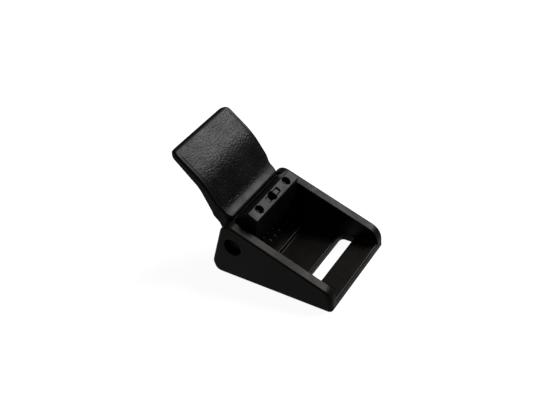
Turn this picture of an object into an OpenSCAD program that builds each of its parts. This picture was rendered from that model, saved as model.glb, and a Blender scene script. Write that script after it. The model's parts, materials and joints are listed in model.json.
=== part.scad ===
// Cam buckle for flat webbing: a moulded channel frame, a hinged cam lever and the pin they turn on.
// Millimetres. The origin is the middle of the frame's underside. +X points from the hinge end to the
// slotted end, +Y across the strap, +Z up. The lever is drawn open, which is joint angle zero.

/* [Strap] */
// Width of the webbing that runs through the buckle
strap_w = 25; // [20:1:38]
// Side play between the webbing and each wall
strap_play = 0.9; // [0.5:0.1:1.5]

/* [Frame] */
// Length of the frame
frame_len = 40.6; // [38:0.2:42]
// Thickness of each side wall
wall_t = 3; // [2:0.25:4]
// Thickness of the floor at the slotted end
floor_t = 2.75; // [2.4:0.05:3]
// Thickness of the floor under the cam
stud_floor_t = 2.15; // [1.8:0.05:2.4]
// Slope of the top edge of the walls, in degrees
top_slope = 20.2; // [18:0.1:22]
// Lean of the walls' rear edge from upright, in degrees
rear_lean = 16.2; // [10:0.1:20]
// Wall left above the hinge, measured from the hinge centre to the sloping top
above_hinge = 6.6; // [5.5:0.1:7]
// Lean of the front face from upright, in degrees
front_lean = 2.5; // [0:0.5:10]
// Radius of the ear over the hinge
ear_r = 3.5; // [2:0.1:4.5]
// Radius of the nose at the slotted end
nose_r = 5; // [3:0.25:5.5]
// Radius of the lower rear corner
heel_r = 3; // [1:0.1:3.6]
// Radius of the lower front corner
toe_r = 0.5; // [0.3:0.1:2]

/* [Strap slot] */
// Rear end of the slot
slot_x = 7.8; // [6:0.1:8.2]
// Length of the slot along the buckle
slot_l = 4.65; // [4.5:0.05:5.5]
// Radius of the slot's corners
slot_r = 1.2; // [0.6:0.1:2]

/* [Crossbar and studs] */
// Front face of the raised crossbar
crest_x = -3.8; // [-4:0.1:-3]
// Height of the crossbar's crest above the base
crest_z = 4.3; // [3.6:0.1:4.4]
// Rear foot of the ramp behind the crest
ramp_x = -7.8; // [-8.5:0.1:-7]
// Distance between rows of studs
stud_row_pitch = 2.4; // [2:0.1:2.6]
// Distance between studs in a row
stud_pitch = 2.64; // [2:0.02:3]
// Number of rows
stud_rows = 4; // [1:1:4]
// Studs in each row, an odd number
studs_per_row = 9; // [3:2:9]
// Front row of studs
stud_x = -10; // [-10.5:0.1:-9.5]
// Height of a stud
stud_h = 0.6; // [0.3:0.05:0.8]

/* [Hinge] */
// Hinge centre along the buckle
pivot_x = -12.4; // [-12.8:0.1:-12]
// Hinge centre above the base
pivot_z = 11.5; // [11.4:0.1:12]
// Diameter of the hinge pin
pin_d = 5.8; // [4:0.1:6.4]
// How far each end of the pin lies inside the wall's outer face
pin_recess = 1.9; // [0.5:0.1:2.2]
// Radial running clearance of the lever on the pin
pin_play = 0.05; // [0.02:0.01:0.1]

/* [Lever] */
// Side play between the lever's hub and each wall
lever_play = 0.1; // [0.1:0.05:0.8]
// How far the cam block is narrower than the hub on each side
cam_inset = 1.5; // [0.8:0.1:1.8]
// Width of the handle, which is a little wider than the channel and clears the walls above them
handle_w = 28.1; // [25:0.1:29]
// Radius of the bend in the handle's front face
bend_r = 22.5; // [15:0.5:26]
// Radius of the handle's rounded tip
tip_r = 1.8; // [1:0.1:2]
// Diameter of the two small moulding cores in the cam's flat top
core_d = 2.6; // [1.6:0.1:2.8]
// Distance of the two small cores from the middle
core_y = 7.6; // [6:0.1:9]
// Depth of the small cores
core_h = 1.7; // [1:0.1:4]
// Depth of the central core
mid_core_h = 4.5; // [2:0.5:5]
// Diameter of the central core
mid_core_d = 2.8; // [2:0.1:2.9]

/* [Hidden] */
$fn = 64;
eps = 0.01;

channel_w = strap_w + 2 * strap_play;
body_w = channel_w + 2 * wall_t;
front_x = frame_len / 2;
rear_x = -frame_len / 2;
pin_len = body_w - 2 * pin_recess;
pin_chamfer = 0.5;
stud_r = 0.45;
stud_tip_r = 0.15;

pivot = [pivot_x, pivot_z];
top_n = [sin(top_slope), cos(top_slope)];
rear_n = [-cos(rear_lean), sin(rear_lean)];
front_n = [cos(front_lean), sin(front_lean)];
top_d = pivot * top_n + above_hinge;
rear_d = [rear_x + heel_r, heel_r] * rear_n + heel_r;
front_d = [front_x - toe_r, toe_r] * front_n + toe_r;

// Lever outline, measured from the hinge centre with the lever open
hub_w = channel_w - 2 * lever_play;
cam_w = hub_w - 2 * cam_inset;
hub_r = 4.6;
boss_r = 5.2;
bite_edge = [6.45, 8.75];
flat_heel = [3.2, 10.56];
groove = [-1.75, 6.6];
lip = [-1.8, 7.6];
ledge = [-4.15, 9.6];
bend = [-10.13, 19];
tip = [-19.77, 26.95];
tip_back = [-21.1, 25.33];
back_bend = [-11.6, 16];
back_foot = [-5.7, 4];
wide_foot = [-5.6, 5.15];
wide_run = [0.312, 0.95];

// Unit vector at an angle in degrees
function unit(a) = [cos(a), sin(a)];
// Angle of a vector
function angle_of(v) = atan2(v[1], v[0]);
// Point where the lines n1.p = d1 and n2.p = d2 cross
function crossing(n1, d1, n2, d2) = [d1 * n2[1] - d2 * n1[1], n1[0] * d2 - n2[0] * d1] / cross(n1, n2);
// Point of a circle where the line from an outside point touches it; side is 1 or -1
function touch(c, r, p, side) = c + r * unit(angle_of(p - c) + side * acos(r / norm(p - c)));
// Corner p between a and b, rounded to radius r, as points
function corner(a, p, b, r) = let (
    u = (a - p) / norm(a - p), v = (b - p) / norm(b - p), half = acos(u * v) / 2,
    c = p + (u + v) / norm(u + v) * r / sin(half),
    a0 = angle_of(p + u * r / tan(half) - c), a1 = angle_of(p + v * r / tan(half) - c),
    turn = (a1 - a0 + 540) % 360 - 180)
    [for (i = [0:8]) c + r * unit(a0 + turn * i / 8)];
// Closed outline through [point, radius] pairs, in order
function rounded(list) = let (n = len(list)) [for (i = [0:n - 1])
    each (list[i][1] == 0 ? [list[i][0]] :
        corner(list[(i + n - 1) % n][0], list[i][0], list[(i + 1) % n][0], list[i][1]))];

// A solid of the given width across the strap, from an outline in X and Z
module across(width)
    translate([0, width / 2, 0])
        rotate([90, 0, 0])
            linear_extrude(width)
                children();

// A round bar or bore across the strap, centred on the hinge
module hinge_round(radius, width)
    translate([pivot_x, width / 2, pivot_z])
        rotate([90, 0, 0])
            cylinder(h = width, r = radius);

// Side view of the frame: flat base, leaning front and rear faces, sloping top
module side_outline()
    polygon(rounded([
        [crossing(rear_n, rear_d, [0, 1], 0), heel_r],
        [crossing(front_n, front_d, [0, 1], 0), toe_r],
        [crossing(front_n, front_d, top_n, top_d), nose_r],
        [crossing(top_n, top_d, rear_n, rear_d), ear_r]]));

// Everything below the floor's upper surface, with the ramp and the crest
module floor_band()
    polygon([[rear_x - 1, -1], [front_x + 1, -1], [front_x + 1, floor_t], [crest_x, floor_t],
        [crest_x, crest_z], [ramp_x, stud_floor_t], [rear_x - 1, stud_floor_t]]);

// Slot for the fixed strap, seen from above
module slot_outline() {
    w = channel_w;
    translate([slot_x, -w / 2 + slot_r]) square([slot_l, w - 2 * slot_r]);
    translate([slot_x + slot_r, -w / 2]) square([slot_l - 2 * slot_r, w]);
    for (x = [slot_x + slot_r, slot_x + slot_l - slot_r], y = [-w / 2 + slot_r, w / 2 - slot_r])
        translate([x, y]) circle(slot_r);
}

// Rows of small pointed studs that grip the webbing
module studs()
    for (row = [0:stud_rows - 1], i = [-(studs_per_row - 1) / 2:(studs_per_row - 1) / 2])
        translate([stud_x - row * stud_row_pitch, i * stud_pitch, stud_floor_t - eps])
            cylinder(h = stud_h + eps, r1 = stud_r, r2 = stud_tip_r, $fn = 16);

// Moulded frame: two side walls, the floor, the crossbar, the studs and the slotted end
module frame() {
    color("#1d1c1b")
    union() {
        difference() {
            union() {
                for (side = [-1, 1])
                    translate([0, side * (channel_w + wall_t) / 2, 0])
                        across(wall_t) side_outline();
                across(channel_w + wall_t)
                    intersection() {
                        side_outline();
                        floor_band();
                    }
            }
            hinge_round(pin_d / 2, body_w + 2);
            translate([0, 0, -1]) linear_extrude(floor_t + 2) slot_outline();
        }
        studs();
    }
}

// Side view of the handle, from the hinge boss over the lip to the tip and down its back
module blade_outline()
    polygon(rounded([
        [touch([0, 0], boss_r, groove, -1), 0],
        [groove, 0],
        [lip, 0.8],
        [ledge, 9],
        [bend, bend_r],
        [tip, tip_r],
        [tip_back, 0.3],
        [back_bend, 10],
        [back_foot, 3],
        [[-hub_r, 0], 0],
        [[0, 0], 0]]));

// Where the handle may be wider than the channel and still clear the walls over the whole travel
module wide_zone()
    polygon([wide_foot, wide_foot + 40 * wide_run, [-40, 40], [-40, 2.9]]);

// Side view of the cam block: its round foot, leaning front face, flat top and the groove behind it
module cam_outline() {
    front_foot = touch([0, 0], hub_r, bite_edge, -1);
    polygon([bite_edge, flat_heel, groove, [-3.5, groove[1]], [-hub_r, 0], [0, 0], front_foot]);
    circle(hub_r);
}

// Places children on the middle of the cam's flat top, with +Z pointing out of it
module on_flat()
    translate([pivot_x + (bite_edge[0] + flat_heel[0]) / 2, 0, pivot_z + (bite_edge[1] + flat_heel[1]) / 2])
        rotate([0, -angle_of(flat_heel - bite_edge) + 180, 0])
            children();

// Blind cores in the flat top: two round ones, and a deeper one inside a shallow pocket
module cores() {
    for (y = [-core_y, core_y])
        translate([0, y, -core_h]) cylinder(h = core_h + 2, r = core_d / 2);
    translate([0, -0.3, -mid_core_h]) cylinder(h = mid_core_h + 2, r = mid_core_d / 2);
    translate([-0.85, -3.4, -0.4]) cube([1.7, 6.8, 2]);
}

// Cam lever: curved handle, cam block and the two bosses that run against the walls
module cam_lever() {
    color("#242424")
    difference() {
        translate([pivot_x, 0, pivot_z]) {
            across(hub_w) blade_outline();
            across(handle_w)
                intersection() {
                    blade_outline();
                    wide_zone();
                }
            across(cam_w) cam_outline();
            for (side = [-1, 1])
                translate([0, side * (hub_w - cam_inset) / 2, 0])
                    across(cam_inset) circle(boss_r);
        }
        hinge_round(pin_d / 2 + pin_play, hub_w + 2);
        on_flat() cores();
    }
}

// Plain hinge pin with chamfered ends, held in the walls
module pivot_pin() {
    color("#151515")
    translate([pivot_x, pin_len / 2, pivot_z])
        rotate([90, 0, 0])
            rotate_extrude()
                polygon([[0, 0], [pin_d / 2 - pin_chamfer, 0], [pin_d / 2, pin_chamfer],
                    [pin_d / 2, pin_len - pin_chamfer], [pin_d / 2 - pin_chamfer, pin_len], [0, pin_len]]);
}

frame();
cam_lever();
pivot_pin();
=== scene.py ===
"""Looks of a moulded plastic cam buckle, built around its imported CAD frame.

The frame, the lever and the pin are one moulding each. The frame and the lever are written as signed
distance functions in millimetres, so that every edge has its own small radius, and are meshed on an even
grid. The pin is a turned profile.
"""

import json
import math

import bpy
import numpy as np
from mathutils import Matrix, Vector


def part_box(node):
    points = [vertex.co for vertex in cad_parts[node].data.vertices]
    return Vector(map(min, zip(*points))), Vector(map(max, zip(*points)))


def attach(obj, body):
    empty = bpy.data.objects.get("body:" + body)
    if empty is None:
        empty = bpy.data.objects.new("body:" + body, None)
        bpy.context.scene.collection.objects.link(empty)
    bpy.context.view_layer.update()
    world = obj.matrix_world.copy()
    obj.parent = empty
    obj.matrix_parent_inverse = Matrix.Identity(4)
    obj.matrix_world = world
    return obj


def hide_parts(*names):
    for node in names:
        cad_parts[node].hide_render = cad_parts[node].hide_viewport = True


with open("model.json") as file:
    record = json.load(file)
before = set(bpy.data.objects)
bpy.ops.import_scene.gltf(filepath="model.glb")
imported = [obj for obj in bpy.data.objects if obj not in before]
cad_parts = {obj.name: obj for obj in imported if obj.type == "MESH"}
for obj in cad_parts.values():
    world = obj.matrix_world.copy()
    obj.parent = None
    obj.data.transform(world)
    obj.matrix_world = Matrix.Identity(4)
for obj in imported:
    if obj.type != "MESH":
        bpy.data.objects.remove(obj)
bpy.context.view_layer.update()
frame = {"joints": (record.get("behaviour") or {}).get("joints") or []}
MM = 1000.0  # millimetres in a metre

# ---------------------------------------------------------------- sizes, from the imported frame
frame_lo, frame_hi = (np.array(c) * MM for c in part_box("frame"))
lever_lo, lever_hi = (np.array(c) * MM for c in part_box("cam_lever"))
pin_lo, pin_hi = (np.array(c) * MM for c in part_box("pivot_pin"))
PIVOT_X, _, PIVOT_Z = (v * MM for v in frame["joints"][0]["pos_m"])
HALF_W = frame_hi[1]  # half the overall width
REAR, FRONT = frame_lo[0], frame_hi[0]
BLADE_HALF = lever_hi[1]  # half the handle's width
WALL = 3.0
CHANNEL_HALF = HALF_W - WALL  # half the clear width between the walls
FLOOR = 2.75  # top of the floor at the slotted end
STUD_FLOOR = 2.15  # top of the floor under the cam
TOP_SLOPE, REAR_LEAN, FRONT_LEAN = 20.2, 16.2, 2.5  # lean of each edge of the side view, in degrees
ABOVE_HINGE = 6.6  # from the hinge's centre square up to the walls' top edge
EAR_R, NOSE_R = 3.5, 5.0  # top corners of the side view, rear and front
HEEL_R, TOE_R = 3.0, 0.5  # bottom corners of the side view, rear and front
PIN_R = (pin_hi[0] - pin_lo[0]) / 2


# ---------------------------------------------------------------- plane geometry
def unit(degrees):
    """The direction at an angle, as a vector of length 1."""
    return np.array([math.cos(math.radians(degrees)), math.sin(math.radians(degrees))])


def angle_of(v):
    """The angle of a vector, in degrees."""
    return math.degrees(math.atan2(v[1], v[0]))


def arc(centre, radius, start, stop, steps):
    """Points of an arc, in equal steps."""
    return [np.array(centre) + radius * unit(start + (stop - start) * i / steps) for i in range(steps + 1)]


def crossing(n1, d1, n2, d2):
    """Where two lines cross, each given by its normal and its distance from the origin."""
    return np.linalg.solve(np.array([n1, n2]), np.array([d1, d2]))


def softened(corners, steps=5):
    """The polygon of (x, z, radius) corners, with each corner rounded to its radius in equal steps."""
    out = []
    n = len(corners)
    for i, (x, z, radius) in enumerate(corners):
        p = np.array([x, z])
        if not radius:
            out.append(p)
            continue
        a = np.array(corners[i - 1][:2]) - p
        b = np.array(corners[(i + 1) % n][:2]) - p
        a, b = a / np.hypot(*a), b / np.hypot(*b)
        half = math.acos(max(-1.0, min(1.0, float(a @ b)))) / 2
        centre = p + (a + b) / np.hypot(*(a + b)) * radius / math.sin(half)
        start = angle_of(p + a * radius / math.tan(half) - centre)
        turn = (angle_of(p + b * radius / math.tan(half) - centre) - start + 180) % 360 - 180
        out += arc(centre, radius, start, start + turn, steps)
    return out


def polygon(px, pz, points):
    """Signed distance to a closed polygon, negative inside."""
    nearest, inside = None, None
    for a, b in zip(points, points[1:] + points[:1]):
        ex, ez = b[0] - a[0], b[1] - a[1]
        length2 = ex * ex + ez * ez
        if length2 < 1e-12:
            continue
        wx, wz = px - a[0], pz - a[1]
        t = np.clip((wx * ex + wz * ez) / length2, 0, 1)
        d2 = (wx - ex * t) ** 2 + (wz - ez * t) ** 2
        nearest = d2 if nearest is None else np.minimum(nearest, d2)
        if abs(ez) > 1e-12:
            crossed = ((a[1] > pz) != (b[1] > pz)) & (px < ex * (pz - a[1]) / ez + a[0])
            inside = crossed if inside is None else inside ^ crossed
    return np.where(inside, -1.0, 1.0) * np.sqrt(nearest)


# ---------------------------------------------------------------- solid geometry
def meet(a, b, radius):
    """Where both solids are, with the edge between them rounded."""
    u, v = np.maximum(a + radius, 0), np.maximum(b + radius, 0)
    return np.minimum(np.maximum(a, b), -radius) + np.hypot(u, v)


def join(a, b, radius):
    """Both solids, with a fillet where they meet."""
    return -meet(-a, -b, radius)


def cut(a, b, radius):
    """The first solid less the second, with a rounded edge."""
    return meet(a, -b, radius)


def step(x, low, high):
    """0 at low and 1 at high, smooth between and level beyond. High may be the smaller of the two."""
    t = np.clip((x - low) / (high - low), 0, 1)
    return t * t * (3 - 2 * t)


def mix(a, b, t):
    """From a at 0 to b at 1."""
    return a + (b - a) * t


def rounded_box(a, b, half_a, half_b, radius):
    """Signed distance to a rectangle about the origin with round corners, given by its half sizes."""
    da, db = np.abs(a) - (half_a - radius), np.abs(b) - (half_b - radius)
    return np.hypot(np.maximum(da, 0), np.maximum(db, 0)) + np.minimum(np.maximum(da, db), 0) - radius


def mesh_of(shape, lo, hi, pitch):
    """Vertices, quads, normals and bend of a shape's surface, by surface nets on an even grid.

    Each grid cell that the surface passes through gets one vertex. The vertices are then pulled on to the
    surface twice, and the normals and the bend, which is high on sharp edges, come from the shape itself.
    """
    axes = [np.arange(a - 1.6 * pitch, b + 2.6 * pitch, pitch) for a, b in zip(lo, hi)]
    x, y, z = axes[0][:, None, None], axes[1][None, :, None], axes[2][None, None, :]
    f = np.array(np.broadcast_to(shape(x, y, z), [len(a) for a in axes]), dtype=np.float32)
    inside = f < 0
    corners = [(i, j, k) for i in (0, 1) for j in (0, 1) for k in (0, 1)]
    nx, ny, nz = (n - 1 for n in f.shape)
    count = np.zeros((nx, ny, nz), np.uint8)
    for i, j, k in corners:
        count += inside[i : i + nx, j : j + ny, k : k + nz]
    active = (count > 0) & (count < 8)
    cells = np.argwhere(active)
    index = np.full(active.shape, -1, np.int64)
    index[active] = np.arange(len(cells))
    at = {c: f[cells[:, 0] + c[0], cells[:, 1] + c[1], cells[:, 2] + c[2]] for c in corners}
    total, hits = np.zeros((len(cells), 3)), np.zeros(len(cells))
    for axis in range(3):
        for c in corners:
            if c[axis]:
                continue
            end = tuple(v + (n == axis) for n, v in enumerate(c))
            va, vb = at[c], at[end]
            crossed = (va < 0) != (vb < 0)
            t = va[crossed] / (va[crossed] - vb[crossed])
            total[crossed] += c
            total[crossed, axis] += t
            hits[crossed] += 1
    points = (cells + total / hits[:, None]) * pitch + [a[0] for a in axes]

    quads = []
    for axis in range(3):
        b, c = (axis + 1) % 3, (axis + 2) % 3
        near = np.moveaxis(inside, (axis, b, c), (0, 1, 2))
        change = near[:-1, 1:-1, 1:-1] != near[1:, 1:-1, 1:-1]
        a_i, b_i, c_i = np.nonzero(change)
        b_i, c_i = b_i + 1, c_i + 1
        local = np.moveaxis(index, (axis, b, c), (0, 1, 2))
        turns = [(b_i - 1, c_i - 1), (b_i, c_i - 1), (b_i, c_i), (b_i - 1, c_i)]
        ring = np.stack([local[a_i, b_j, c_j] for b_j, c_j in turns], 1)
        outward = near[:-1, 1:-1, 1:-1][change]
        quads.append(np.where(outward[:, None], ring, ring[:, ::-1]))
    quads = np.concatenate(quads)

    offset = 0.05  # of the samples that a slope is worked out from
    for last in (False, False, True):
        here = shape(*points.T)
        slopes, bend = [], 0
        for axis in range(3):
            shift = np.zeros(3)
            shift[axis] = offset
            ahead, behind = shape(*(points + shift).T), shape(*(points - shift).T)
            slopes.append((ahead - behind) / (2 * offset))
            bend = bend + (ahead + behind - 2 * here) / offset**2
        slope = np.stack(slopes, 1)
        size2 = np.maximum((slope**2).sum(1), 1e-6)
        if not last:
            points -= slope * np.clip(here / size2, -0.5 * pitch, 0.5 * pitch)[:, None]
    return points, quads, slope / np.sqrt(size2)[:, None], bend


def build(name, points, quads, normals, body, slot, node, material, **attributes):
    """A Blender piece from millimetre points, which rides on its body and stands for its CAD node."""
    mesh = bpy.data.meshes.new(name)
    mesh.vertices.add(len(points))
    mesh.vertices.foreach_set("co", (points / MM).astype(np.float32).ravel())
    mesh.loops.add(quads.size)
    mesh.loops.foreach_set("vertex_index", quads.astype(np.int32).ravel())
    mesh.polygons.add(len(quads))
    mesh.polygons.foreach_set("loop_start", np.arange(0, quads.size, quads.shape[1], dtype=np.int32))
    mesh.update(calc_edges=True)
    mesh.shade_smooth()
    mesh.normals_split_custom_set_from_vertices(normals)
    for key, values in attributes.items():
        mesh.attributes.new(key, "FLOAT", "POINT").data.foreach_set("value", np.asarray(values, np.float32))
    piece = bpy.data.objects.new(name, mesh)
    bpy.context.scene.collection.objects.link(piece)
    mesh.materials.append(material)
    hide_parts(node)
    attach(piece, body)


# ---------------------------------------------------------------- the frame
def frame_outline():
    """Side view: flat base, leaning front and rear faces, and the sloping top between its nose and ear."""
    base, front, top, rear = unit(-90), unit(FRONT_LEAN), unit(90 - TOP_SLOPE), unit(180 - REAR_LEAN)
    top_d = top @ (PIVOT_X, PIVOT_Z) + ABOVE_HINGE
    rear_d = rear @ (REAR + HEEL_R, HEEL_R) + HEEL_R
    front_d = front @ (FRONT - TOE_R, TOE_R) + TOE_R
    corners = [
        (*crossing(rear, rear_d, base, 0), HEEL_R),
        (*crossing(front, front_d, base, 0), TOE_R),
        (*crossing(front, front_d, top, top_d), NOSE_R),
        (*crossing(top, top_d, rear, rear_d), EAR_R),
    ]
    return softened(corners, 14)


RAMP_X, CREST_X, CREST_Z = -7.8, -3.8, 4.3  # the crossbar: the foot of its ramp, and its crest
PAST, ABOVE = 3, 40  # how far the channel's cutter runs past the ends, and its height
SIDE = frame_outline()
CHANNEL = softened(
    [
        (REAR - PAST, ABOVE, 0),
        (REAR - PAST, STUD_FLOOR, 0),
        (RAMP_X, STUD_FLOOR, 0.8),
        (CREST_X, CREST_Z, 0.3),
        (CREST_X, FLOOR, 0.25),
        (FRONT + PAST, FLOOR, 0),
        (FRONT + PAST, ABOVE, 0),
    ]
)
SLOT_REAR, SLOT_LONG, SLOT_CORNER = 7.9, 4.55, 1.3
SLOT_HALF = CHANNEL_HALF - 0.15
SLOT_DRAFT, PARTING_Z = 0.05, 1.45  # the slot widens up and down from the line where the mould's halves met
EDGE_R, BASE_EDGE_R, REAR_EXTRA_R = 0.5, 0.2, 0.3  # outer edges, and what the rear adds to them
RIM_R, FRONT_RIM_R, BORE_EDGE_R = 0.14, 0.5, 0.2  # edges of the channel, its open front, and the hinge bores
NEAR_CORNER_R, FAR_CORNER_R = 1.5, 0.5  # the upright corners at the front
CHANNEL_CORNER_R = 0.45
STUD_ROW, STUD_PITCH, STUD_ROWS, STUDS_EACH_SIDE = 2.4, 2.64, 4, 4
STUD_X, STUD_R, STUD_HEIGHT = -10.0, 0.56, 0.6  # STUD_X is the front row's place
STUD_TAPER, STUD_TIP_R, STUD_FILLET = 0.7, 0.16, 0.12
EJECTOR_X, EJECTOR_Y, EJECTOR_R = 16.5, 10.8, 1.5
DIMPLE_X, DIMPLE_Y, DIMPLE_Z = -13.75, 14.56, 17.75
MARK_DEPTH = 0.09
NUB_INSET, NUB_R, NUB_FILLET = 0.45, 0.34, 0.1


def studs(x, y, z):
    """Rows of small pointed studs on the rear floor."""
    row = np.clip(np.round((x - STUD_X) / STUD_ROW), 1 - STUD_ROWS, 0)
    place = np.clip(np.round(y / STUD_PITCH), -STUDS_EACH_SIDE, STUDS_EACH_SIDE)
    away = np.hypot(x - STUD_X - row * STUD_ROW, y - place * STUD_PITCH)
    rise = z - STUD_FLOOR
    cone = (away - STUD_R + STUD_TAPER * rise) * 0.8  # the last factor makes it close to a distance
    return np.maximum(meet(cone, rise - STUD_HEIGHT, STUD_TIP_R), -rise - STUD_HEIGHT)


def stud_glint_mask(points):
    """1 on the tips of the studs, where a much paler colour is painted as a glint, and 0 elsewhere."""
    x, y, z = points.T
    on_floor = (x < STUD_X + 1.5) & (np.abs(y) < CHANNEL_HALF - 0.6) & (z < STUD_FLOOR + STUD_HEIGHT + 0.1)
    return step(z, STUD_FLOOR + 0.3, STUD_FLOOR + 0.5) * on_floor


def frame_body(x, y, z):
    """The outside of the frame, whose edges are softer at the front corners and behind the hinge."""
    side = np.abs(y)
    corner = np.where(y < 0, NEAR_CORNER_R, FAR_CORNER_R)
    at_corner = step(x, FRONT - 5, FRONT - 2) * step(z, 7.5, 4.5)
    edge = mix(EDGE_R, corner, at_corner) + REAR_EXTRA_R * step(x, -15, -17)
    body = meet(polygon(x, z, SIDE), side - HALF_W, mix(BASE_EDGE_R, edge, step(z, 0.3, 2.0)))
    lean = unit(FRONT_LEAN)
    front_face = x * lean[0] + z * lean[1] - lean @ (FRONT - TOE_R, TOE_R) - TOE_R
    return np.maximum(body, meet(front_face, side - HALF_W, corner))


def strap_slot(x, y, z):
    """The slot for the fixed strap, up to just above the floor."""
    slot = rounded_box(x - SLOT_REAR - SLOT_LONG / 2, y, SLOT_LONG / 2, SLOT_HALF, SLOT_CORNER)
    slot = slot - SLOT_DRAFT * np.minimum(np.abs(z - PARTING_Z), 1.35)
    return np.maximum(slot, z - FLOOR - 0.1)


def ejector_marks(x, y, z):
    """Depth of the round marks of the ejector pins: on the front bar, and on the wall tops by the hinge."""
    side = np.abs(y)
    from_ring = np.hypot(x - EJECTOR_X, side - EJECTOR_Y)
    on_bar = step(from_ring, EJECTOR_R + 0.1, EJECTOR_R - 0.1) * step(z, 2.0, 2.4)
    from_dimple = np.sqrt((x - DIMPLE_X) ** 2 + (side - DIMPLE_Y) ** 2 + (z - DIMPLE_Z) ** 2)
    return MARK_DEPTH * (on_bar + step(from_dimple, 0.8, 0.55))


def frame_shape(x, y, z):
    side = np.abs(y)
    channel = meet(polygon(x, z, CHANNEL), side - CHANNEL_HALF, CHANNEL_CORNER_R)
    at_front = step(x, FRONT - 1.5, FRONT - 0.5) * step(z, 4.5, 3.2)
    body = cut(frame_body(x, y, z), channel, mix(RIM_R, FRONT_RIM_R, at_front))
    body = cut(body, strap_slot(x, y, z), mix(0.1, 0.32, step(z, 0.6, 1.8)))
    body = cut(body, np.hypot(x - PIVOT_X, z - PIVOT_Z) - PIN_R, BORE_EDGE_R)
    body = join(body, studs(x, y, z), STUD_FILLET)
    # Flash nub at the far front corner of the base
    nub_x, nub_y, nub_z = FRONT - NUB_INSET, HALF_W - NUB_INSET, NUB_INSET
    nub = np.sqrt((x - nub_x) ** 2 + (y - nub_y) ** 2 + (z - nub_z) ** 2) - NUB_R
    return join(body, nub, NUB_FILLET) + ejector_marks(x, y, z)


# ---------------------------------------------------------------- the lever, measured from the hinge
HUB_R, BOSS_R = 4.6, 5.2
HUB_HALF = CHANNEL_HALF - 0.1
BOSS_WIDE = 1.5  # each boss, along the hinge
CAM_HALF = HUB_HALF - BOSS_WIDE
LEVER_PLAY = 0.05  # between the pin and the lever's bore
LIP, LEDGE, BEND, TIP = map(np.array, ((-1.55, 7.95), (-4.1, 9.5), (-10.13, 19.0), (-19.77, 26.95)))
TIP_BACK, BACK_BEND, BACK_FOOT = (-21.1, 25.33), (-11.6, 16.0), (-5.7, 4.0)
BITE, FLAT_HEEL, GROOVE = map(np.array, ((6.45, 8.75), (3.2, 10.56), (-1.75, 6.6)))
LIP_R, LEDGE_R, BEND_R, TIP_R = 1.1, 7.0, 22.5, 1.95
BACK_BEND_R, BACK_FOOT_R = 10.0, 3.0
HANDLE_END_R = 2.9  # corners of the handle's end, seen from the front
FOOT_EDGE_R, LEDGE_EDGE_R, HANDLE_EDGE_R = 0.3, 1.8, 0.65
HUB_EDGE_R, BOSS_EDGE_R, CAM_EDGE_R, BORE_RIM_R = 0.3, 0.25, 0.35, 0.15
HUB_FILLET, CAM_FILLET = 0.3, 0.15  # where the handle meets the hub, and where it meets the cam
# The handle narrows to the channel's width below these two lines, each given by its normal and by where the
# narrowing ends and starts, so that it clears the walls' tops over the whole travel
FRONT_NORMAL, FRONT_NARROW, FRONT_WIDE = np.array([-0.95, 0.312]), 6.95, 9.8
BACK_NORMAL, BACK_NARROW, BACK_WIDE = np.array([-0.066, 1.0]), 5.6, 6.5
CORES_BACK = 0.25  # how far the cores are from the middle of the cam's flat top, towards the handle
CORE_Y, CORE_R, CORE_DEPTH = 7.6, 1.3, 1.45
MIDDLE_CORE_Y, MIDDLE_CORE_R, MIDDLE_CORE_DEPTH = -0.3, 1.4, 4.5
POCKET_LONG, POCKET_WIDE, POCKET_CORNER, POCKET_DEPTH = 6.6, 1.7, 0.4, 0.5
CORE_FLOOR_R, MIDDLE_CORE_FLOOR_R, POCKET_FLOOR_R = 0.85, 0.2, 0.1
CORE_RIM_R, POCKET_RIM_R = 0.15, 0.12
LOW_ANGLE, HIGH_ANGLE = angle_of(BEND - LEDGE), angle_of(TIP - BEND)
LOW_WAY, HIGH_WAY = unit(LOW_ANGLE), unit(HIGH_ANGLE)
BEND_LEG = BEND_R * math.tan(math.radians(HIGH_ANGLE - LOW_ANGLE) / 2)
BEND_C = BEND - BEND_LEG * LOW_WAY - BEND_R * unit(LOW_ANGLE - 90)
BEND_S = float(np.hypot(*(BEND - LEDGE))) - BEND_LEG  # up the face from the ledge to the bend's start
BEND_END_S = BEND_S + BEND_R * math.radians(HIGH_ANGLE - LOW_ANGLE)
TIP_S = BEND_END_S + float(np.hypot(*(TIP - BEND))) - BEND_LEG


def touch(centre, radius, point, side):
    """Where the line from a point touches a circle."""
    v = np.array(point) - centre
    return centre + radius * unit(angle_of(v) + side * math.degrees(math.acos(radius / np.hypot(*v))))


def blade_outline():
    """Side view of the handle, from the boss over the lip to the tip and down its back."""
    boss = touch(np.zeros(2), BOSS_R, GROOVE, -1)
    corners = [(*boss, 0), (*GROOVE, 0), (*LIP, LIP_R), (*LEDGE, LEDGE_R), (*BEND, BEND_R), (*TIP, TIP_R)]
    corners += [(*TIP_BACK, 0.3), (*BACK_BEND, BACK_BEND_R), (*BACK_FOOT, BACK_FOOT_R)]
    return softened(corners + [(-HUB_R, 0, 0), (0, 0, 0)], 9)


def cam_outline():
    """Side view of the cam block: its leaning front face, flat top and the groove behind it."""
    foot = touch(np.zeros(2), HUB_R, BITE, -1)
    behind_groove = (GROOVE[0] - 1.75, GROOVE[1], 0)
    corners = [(*foot, 0), (*BITE, 0.3), (*FLAT_HEEL, 0.35), (*GROOVE, 0.3), behind_groove]
    return softened(corners) + [np.array([-HUB_R, 0.0]), np.zeros(2)]


BLADE, CAM = blade_outline(), cam_outline()


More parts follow.
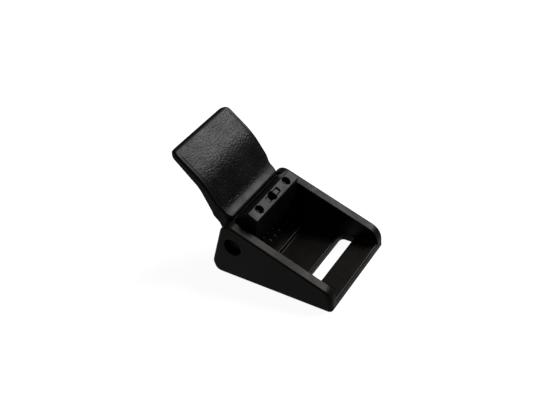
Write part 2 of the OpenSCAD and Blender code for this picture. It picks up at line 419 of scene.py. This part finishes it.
def along_blade(u, w):
    """Distance up the handle's front face from the ledge: straight, round the bend, and straight again."""
    low = (u - LEDGE[0]) * LOW_WAY[0] + (w - LEDGE[1]) * LOW_WAY[1]
    turned = np.arctan2(w - BEND_C[1], u - BEND_C[0]) - math.radians(LOW_ANGLE - 90)
    high = (u - TIP[0]) * HIGH_WAY[0] + (w - TIP[1]) * HIGH_WAY[1] + TIP_S
    return np.where(low < BEND_S, low, np.where(high > BEND_END_S, high, BEND_S + turned * BEND_R))


def blade(u, side, w):
    """The handle, which is wider than the channel above the walls."""
    front = step(FRONT_NORMAL[0] * u + FRONT_NORMAL[1] * w, FRONT_NARROW, FRONT_WIDE)
    rear = step(BACK_NORMAL[0] * u + BACK_NORMAL[1] * w, BACK_NARROW, BACK_WIDE)
    half = mix(HUB_HALF, BLADE_HALF, np.minimum(front, rear))
    plan = meet(along_blade(u, w) - TIP_S - 0.2, side - half, HANDLE_END_R)
    edge = mix(FOOT_EDGE_R, LEDGE_EDGE_R, step(w, 5.5, 6.8) * step(u, -6.0, -3.5))
    edge = mix(edge, HANDLE_EDGE_R, step(w, 7.5, 9.0))
    return meet(polygon(u, w, BLADE), plan, edge)


def cores(u, y, w):
    """Moulding cores in the cam's flat top, each with the radius of its rim.

    There are two shallow ones, a deep one in the middle, and a pocket round that.
    """
    top = (BITE + FLAT_HEEL) / 2
    run = (BITE - FLAT_HEEL) / np.hypot(*(BITE - FLAT_HEEL))
    across = (u - top[0]) * run[0] + (w - top[1]) * run[1] + CORES_BACK
    depth = (u - top[0]) * run[1] - (w - top[1]) * run[0]
    shallow = np.hypot(across, np.abs(y) - CORE_Y) - CORE_R
    shallow = meet(shallow, depth - CORE_DEPTH, CORE_FLOOR_R)
    deep = np.hypot(across, y - MIDDLE_CORE_Y) - MIDDLE_CORE_R
    deep = meet(deep, depth - MIDDLE_CORE_DEPTH, MIDDLE_CORE_FLOOR_R)
    pocket = rounded_box(across, y, POCKET_WIDE / 2, POCKET_LONG / 2, POCKET_CORNER)
    pocket = meet(pocket, depth - POCKET_DEPTH, POCKET_FLOOR_R)
    return (shallow, CORE_RIM_R), (deep, CORE_RIM_R), (pocket, POCKET_RIM_R)


def lever_shape(x, y, z):
    u, w, side = x - PIVOT_X, z - PIVOT_Z, np.abs(y)
    from_hinge = np.hypot(u, w)
    hub = meet(from_hinge - HUB_R, side - HUB_HALF, HUB_EDGE_R)
    boss = meet(from_hinge - BOSS_R, side - HUB_HALF, HUB_EDGE_R)
    boss = meet(boss, CAM_HALF - side, BOSS_EDGE_R)
    cam = meet(polygon(u, w, CAM), side - CAM_HALF, CAM_EDGE_R)
    body = join(blade(u, side, w), np.minimum(hub, boss), HUB_FILLET)
    body = join(body, cam, CAM_FILLET)
    body = cut(body, from_hinge - (PIN_R + LEVER_PLAY), BORE_RIM_R)
    for core, rim in cores(u, y, w):
        body = cut(body, core, rim)
    return body


PANEL_CORNER_R = 2.2
PANEL_INSET, PANEL_END = 1.35, 1.6  # from the handle's long edges, and from its end
PANEL_START, BORDER_START = 0.0, 0.3  # up the face from the ledge


def panel_distance(points, normals, low):
    """Distance outside the panel on the handle's front face that starts at low, negative inside it."""
    u, w = points[:, 0] - PIVOT_X, points[:, 2] - PIVOT_Z
    high = TIP_S - PANEL_END
    middle, half = (low + high) / 2, (high - low) / 2
    from_middle = along_blade(u, w) - middle
    d = rounded_box(from_middle, points[:, 1], half, BLADE_HALF - PANEL_INSET, PANEL_CORNER_R)
    way = unit(LOW_ANGLE - 90)
    facing = normals[:, 0] * way[0] + normals[:, 2] * way[1]
    return np.where((facing > 0.4) & (w > LIP[1] - 0.3), d, 5.0)


def border_distance(points, normals):
    """Distance from the line round the panel, which fades out along the ledge and the tip."""
    d = np.abs(panel_distance(points, normals, BORDER_START))
    s = along_blade(points[:, 0] - PIVOT_X, points[:, 2] - PIVOT_Z)
    middle = step(np.abs(points[:, 1]), BLADE_HALF - 2.4, BLADE_HALF - 4.5)
    return d + middle + step(s, TIP_S - 3.5, TIP_S - 2)


# ---------------------------------------------------------------- the pin
PIN_STEP, PIN_STEP_LONG = 0.46, 0.8  # how much smaller the nose is than the pin, and how long it is
PIN_SIDES = 72


def pin_mesh():
    """A turned pin with a stepped and slightly hollow nose at each end."""
    half, nose = pin_hi[1], PIN_R - PIN_STEP
    profile = [(0.0, half - 0.14), (0.5, half - 0.13), (1.0, half - 0.1), (1.5, half - 0.05)]
    profile += [(1.9, half - 0.01), (nose - 0.2, half), (nose - 0.06, half - 0.05)]
    profile += [(nose, half - 0.14), (nose + 0.02, half - PIN_STEP_LONG)]
    profile += [(PIN_R - 0.1, half - PIN_STEP_LONG - 0.04), (PIN_R, half - PIN_STEP_LONG - 0.14)]
    profile += [(PIN_R, half - 2.5)]
    profile += [(PIN_R, s) for s in np.linspace(half - 5, 0, 4)]
    profile += [(r, -s) for r, s in profile[::-1][1:]]
    points, quads = [], []
    for r, s in profile:
        for i in range(PIN_SIDES):
            out = max(r, 0.02) * unit(360 * i / PIN_SIDES)
            points.append((PIVOT_X + out[0], s, PIVOT_Z + out[1]))
    for i in range(len(profile) - 1):
        here, ahead = i * PIN_SIDES, (i + 1) * PIN_SIDES
        for j in range(PIN_SIDES):
            k = (j + 1) % PIN_SIDES
            quads.append((here + j, ahead + j, ahead + k, here + k))
    return np.array(points), np.array(quads)


def vertex_normals(points, quads):
    """The normal at each point, the mean of the faces round it."""
    mesh = bpy.data.meshes.new("normals")
    mesh.from_pydata(points.tolist(), [], quads.tolist())
    mesh.update()
    normals = np.array([v.normal for v in mesh.vertices])
    bpy.data.meshes.remove(mesh)
    return normals


# ---------------------------------------------------------------- materials
def nodes_of(name):
    """A new material and its empty node tree."""
    material = bpy.data.materials.new(name)
    material.use_nodes = True
    tree = material.node_tree
    tree.nodes.clear()
    return material, tree


def add(tree, kind, inputs=None, **settings):
    """A node whose inputs are linked, for a socket, or set, for a value."""
    node = tree.nodes.new(kind)
    for key, value in settings.items():
        setattr(node, key, value)
    for key, value in (inputs or {}).items():
        if isinstance(value, bpy.types.NodeSocket):
            tree.links.new(value, node.inputs[key])
        else:
            node.inputs[key].default_value = value
    return node


def math_node(tree, operation, a, b):
    """A sum, a difference or a product."""
    return add(tree, "ShaderNodeMath", {0: a, 1: b}, operation=operation).outputs[0]


def ranged(tree, value, low, high, to_low, to_high):
    """The value, moved smoothly from the range low to high into the range to_low to to_high."""
    settings = {"Value": value, "From Min": low, "From Max": high, "To Min": to_low, "To Max": to_high}
    return add(tree, "ShaderNodeMapRange", settings, interpolation_type="SMOOTHSTEP").outputs[0]


def noise(tree, where, scale, detail=2.0, roughness=0.5, distortion=0.0):
    settings = {"Vector": where, "Scale": scale, "Detail": detail, "Roughness": roughness}
    return add(tree, "ShaderNodeTexNoise", {**settings, "Distortion": distortion}).outputs["Fac"]


def attribute(tree, name):
    """A value that the mesh holds at each of its points."""
    return add(tree, "ShaderNodeAttribute", attribute_name=name).outputs["Fac"]


def panel_grain(tree, where, size, height, line):
    """1 inside the panel and 0 outside it, and the height of the panel's grain and border line."""
    inside = ranged(tree, attribute(tree, "panel"), -0.3, 0.0, 1.0, 0.0)
    stretch = add(tree, "ShaderNodeMapping", {"Vector": where, "Scale": (1.0, 0.8, 1.0)}).outputs[0]
    cells = {"Vector": stretch, "Scale": 1 / size, "Smoothness": 0.6, "Randomness": 1.0}
    pebbles = add(tree, "ShaderNodeTexVoronoi", cells, feature="SMOOTH_F1").outputs["Distance"]
    waves = noise(tree, stretch, 0.8 / size, 2.0, 0.5, 0.8)
    peel = math_node(tree, "ADD", math_node(tree, "MULTIPLY", pebbles, -0.5), waves)
    peel = math_node(tree, "MULTIPLY", math_node(tree, "MULTIPLY", peel, inside), height)
    border = ranged(tree, attribute(tree, "border"), 0.02, 0.16, -line, 0.0)
    return inside, math_node(tree, "ADD", peel, border)


def plastic(name, base, rough, specular, grain, grain_size, tint=(1.0, 1.0, 1.0), coarse=None):
    """Black moulded plastic. Sizes are in millimetres, and coarse is the handle's grained panel."""
    material, tree = nodes_of(name)
    where = add(tree, "ShaderNodeTexCoord").outputs["Object"]
    where = add(tree, "ShaderNodeVectorMath", {0: where, 3: MM}, operation="SCALE").outputs[0]
    cloud = noise(tree, where, 0.16, 3.0, 0.55, 0.6)
    dust = noise(tree, where, 3.1, 4.0, 0.7)
    wear = ranged(tree, attribute(tree, "edge"), 0.6, 4.0, 0.0, 1.0)
    height = math_node(tree, "MULTIPLY", noise(tree, where, 1 / grain_size, 3.0, 0.6), grain)
    roughness = ranged(tree, cloud, 0.3, 0.7, rough - 0.05, rough + 0.06)
    if coarse:
        inside, relief = panel_grain(tree, where, coarse["size"], coarse["height"], coarse["line"])
        height = math_node(tree, "ADD", height, relief)
        polish = math_node(tree, "MULTIPLY", inside, coarse["gloss"])
        roughness = math_node(tree, "SUBTRACT", roughness, polish)
    roughness = math_node(tree, "SUBTRACT", roughness, math_node(tree, "MULTIPLY", wear, 0.05))
    # Dust and worn edges are paler. The tips of the studs are painted much paler as a painted glint, in
    # place of the highlights they catch
    tone = ranged(tree, dust, 0.35, 0.75, 0.8, 1.3)
    for wear_and_glint, amount in ((wear, 0.5), (attribute(tree, "tip"), 45.0)):
        tone = math_node(tree, "ADD", tone, math_node(tree, "MULTIPLY", wear_and_glint, amount))
    colour = add(tree, "ShaderNodeVectorMath", {0: base, 3: tone}, operation="SCALE").outputs[0]
    bump = add(tree, "ShaderNodeBump", {"Height": height, "Strength": 1.0, "Distance": 1 / MM}).outputs[0]
    surface = {"Base Color": colour, "Roughness": roughness, "Normal": bump, "IOR": 1.5}
    surface.update({"Specular IOR Level": specular, "Specular Tint": (*tint, 1.0)})
    shader = add(tree, "ShaderNodeBsdfPrincipled", surface)
    add(tree, "ShaderNodeOutputMaterial", {"Surface": shader.outputs[0]})
    return material


FRAME_MAT = plastic("frame_black", (0.0011, 0.00095, 0.00085), 0.40, 0.028, 0.006, 0.35, (1.0, 0.95, 0.89))
LEVER_MAT = plastic(
    "lever_black", (0.0009, 0.00085, 0.0008), 0.40, 0.032, 0.005, 0.4,
    coarse={"size": 0.55, "height": 0.1, "line": 0.06, "gloss": 0.08},
)
PIN_MAT = plastic("pin_black", (0.0012, 0.0011, 0.001), 0.45, 0.03, 0.006, 0.3)

# ---------------------------------------------------------------- the pieces
FRAME_PITCH, LEVER_PITCH = 0.23, 0.216  # the grids' spacing

points, quads, normals, bend = mesh_of(frame_shape, frame_lo, frame_hi, FRAME_PITCH)
build(
    "frame_moulding", points, quads, normals, "buckle_frame", "frame_plastic", "frame", FRAME_MAT,
    # tip marks the studs' tips, which get a painted glint
    edge=bend, tip=stud_glint_mask(points),
)

points, quads, normals, bend = mesh_of(lever_shape, lever_lo, lever_hi, LEVER_PITCH)
build(
    "lever_moulding", points, quads, normals, "lever", "lever_plastic", "cam_lever", LEVER_MAT,
    edge=bend,
    panel=panel_distance(points, normals, PANEL_START),
    border=border_distance(points, normals),
)

points, quads = pin_mesh()
build(
    "hinge_pin", points, quads, vertex_normals(points, quads), "buckle_frame", "pin_plastic", "pivot_pin",
    PIN_MAT,
    edge=np.zeros(len(points)),
)

# ---------------------------------------------------------------- floor, light and camera
FLOOR_HALF, FLOOR_DROP = 3.0, 0.00002  # in metres: half its size, and how far it lies under the object
floor_mesh = bpy.data.meshes.new("floor")
floor_corners = [(sx * FLOOR_HALF, sy * FLOOR_HALF, 0) for sx, sy in ((-1, -1), (1, -1), (1, 1), (-1, 1))]
floor_mesh.from_pydata(floor_corners, [], [(0, 1, 2, 3)])
floor = bpy.data.objects.new("floor", floor_mesh)
bpy.context.scene.collection.objects.link(floor)
floor.location.z = -FLOOR_DROP
pale, tree = nodes_of("pale_floor")
glow = {"Emission Color": (1, 1, 1, 1), "Emission Strength": 0.93}
matt = {"Base Color": (0.08, 0.08, 0.08, 1), "Roughness": 0.9, "Specular IOR Level": 0.0}
shader = add(tree, "ShaderNodeBsdfPrincipled", {**matt, **glow})
add(tree, "ShaderNodeOutputMaterial", {"Surface": shader.outputs[0]})
floor_mesh.materials.append(pale)

world = bpy.data.worlds.new("studio")
world.use_nodes = True
world.node_tree.nodes["Background"].inputs[0].default_value = (1, 1, 1, 1)
world.node_tree.nodes["Background"].inputs[1].default_value = 0.22
bpy.context.scene.world = world


def softbox(name, direction, distance, size, power):
    """An oblong area light that faces the object. Distance and size are in metres, and power is in watts."""
    light = bpy.data.lights.new(name, "AREA")
    light.shape = "RECTANGLE"
    light.size, light.size_y = size
    light.energy = power
    lamp = bpy.data.objects.new(name, light)
    way = Vector(direction).normalized()
    lamp.location = way * distance + Vector((0, 0, 0.01))
    lamp.rotation_mode = "QUATERNION"
    lamp.rotation_quaternion = way.to_track_quat("Z", "Y")
    bpy.context.scene.collection.objects.link(lamp)


softbox("key", (0.28, 0.65, 0.70), 0.7, (0.42, 0.34), 20.0)
softbox("fill", (-0.2, -0.5, 0.9), 1.2, (0.8, 0.8), 2.5)

AZIMUTH, ELEVATION, ROLL = 33.587, 39.042, -4.0  # in degrees
DISTANCE, TARGET, SHIFT = 261.5, (1.79, 0.0, 4.875), (8.78, -12.31)  # in millimetres
LENS, SENSOR = 56.93, 36.0
az, el, roll = map(math.radians, (AZIMUTH, ELEVATION, ROLL))
back = Vector((math.sin(az) * math.cos(el), -math.cos(az) * math.cos(el), math.sin(el)))
right = Vector((math.cos(az), math.sin(az), 0))
up = back.cross(right)
right, up = math.cos(roll) * right + math.sin(roll) * up, -math.sin(roll) * right + math.cos(roll) * up
camera_data = bpy.data.cameras.new("camera")
camera_data.lens, camera_data.sensor_width = LENS, SENSOR
camera_data.clip_start = 0.01
camera = bpy.data.objects.new("camera", camera_data)
place = (Vector(TARGET) + back * DISTANCE - right * SHIFT[0] - up * SHIFT[1]) / MM
rotation = Matrix((right, up, back)).transposed()
camera.matrix_world = Matrix.Translation(place) @ rotation.to_4x4()
bpy.context.scene.collection.objects.link(camera)
bpy.context.scene.camera = camera
bpy.context.scene.view_settings.view_transform = "Standard"
